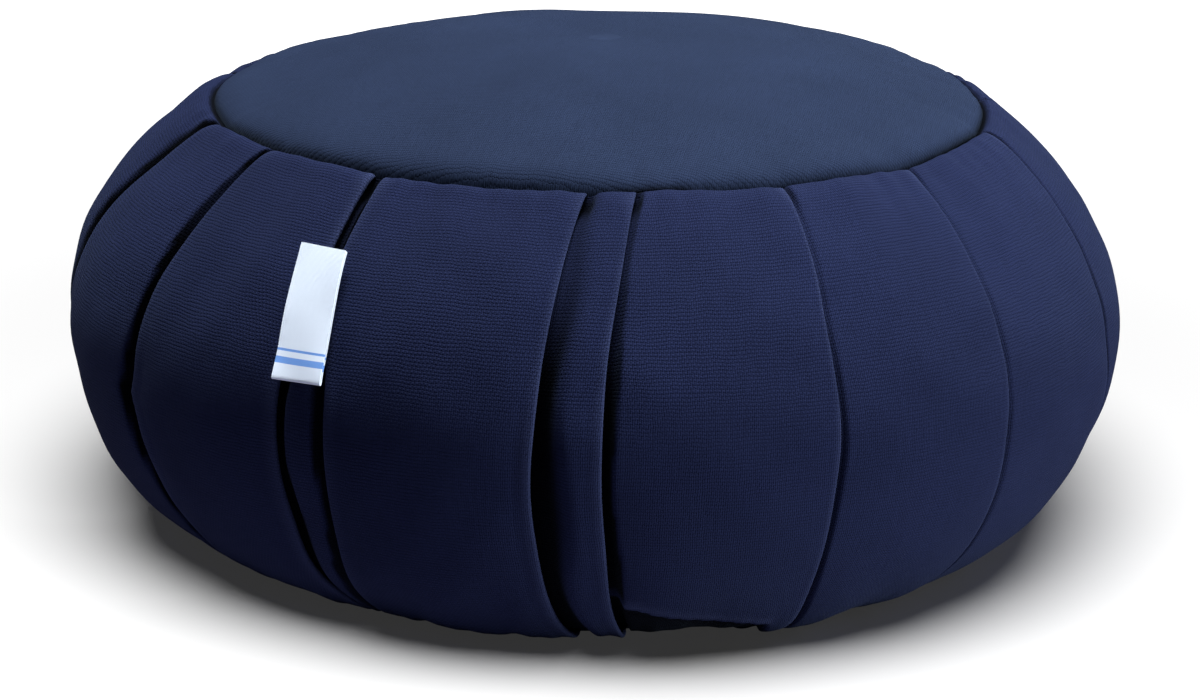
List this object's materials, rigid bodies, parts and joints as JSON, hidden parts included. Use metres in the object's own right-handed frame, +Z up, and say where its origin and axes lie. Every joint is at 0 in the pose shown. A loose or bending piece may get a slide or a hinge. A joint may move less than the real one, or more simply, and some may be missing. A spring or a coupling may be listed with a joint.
{
  "type": "meditation cushion",
  "caption": "Round filled cushion for sitting on the floor, with a pleated side band between round top and bottom panels and a small bare label.",
  "frame": {"origin": "on the floor under the middle of the cushion's box", "axes": "+Z up, -Y towards the front that shows the label, +X to the right seen from the front"},
  "size_m": [0.3452, 0.3527, 0.1587],
  "materials": {
    "band_cotton": "matte navy cotton, plain woven with a fine rib",
    "panel_cotton": "matte navy cotton, plain woven with a fine rib",
    "label_tape": "white woven tape, slightly smooth"
  },
  "bodies": {
    "root": {"body": "band_cotton", "top_panel": "panel_cotton", "bottom_panel": "panel_cotton", "label": "label_tape"}
  },
  "joints": []
}
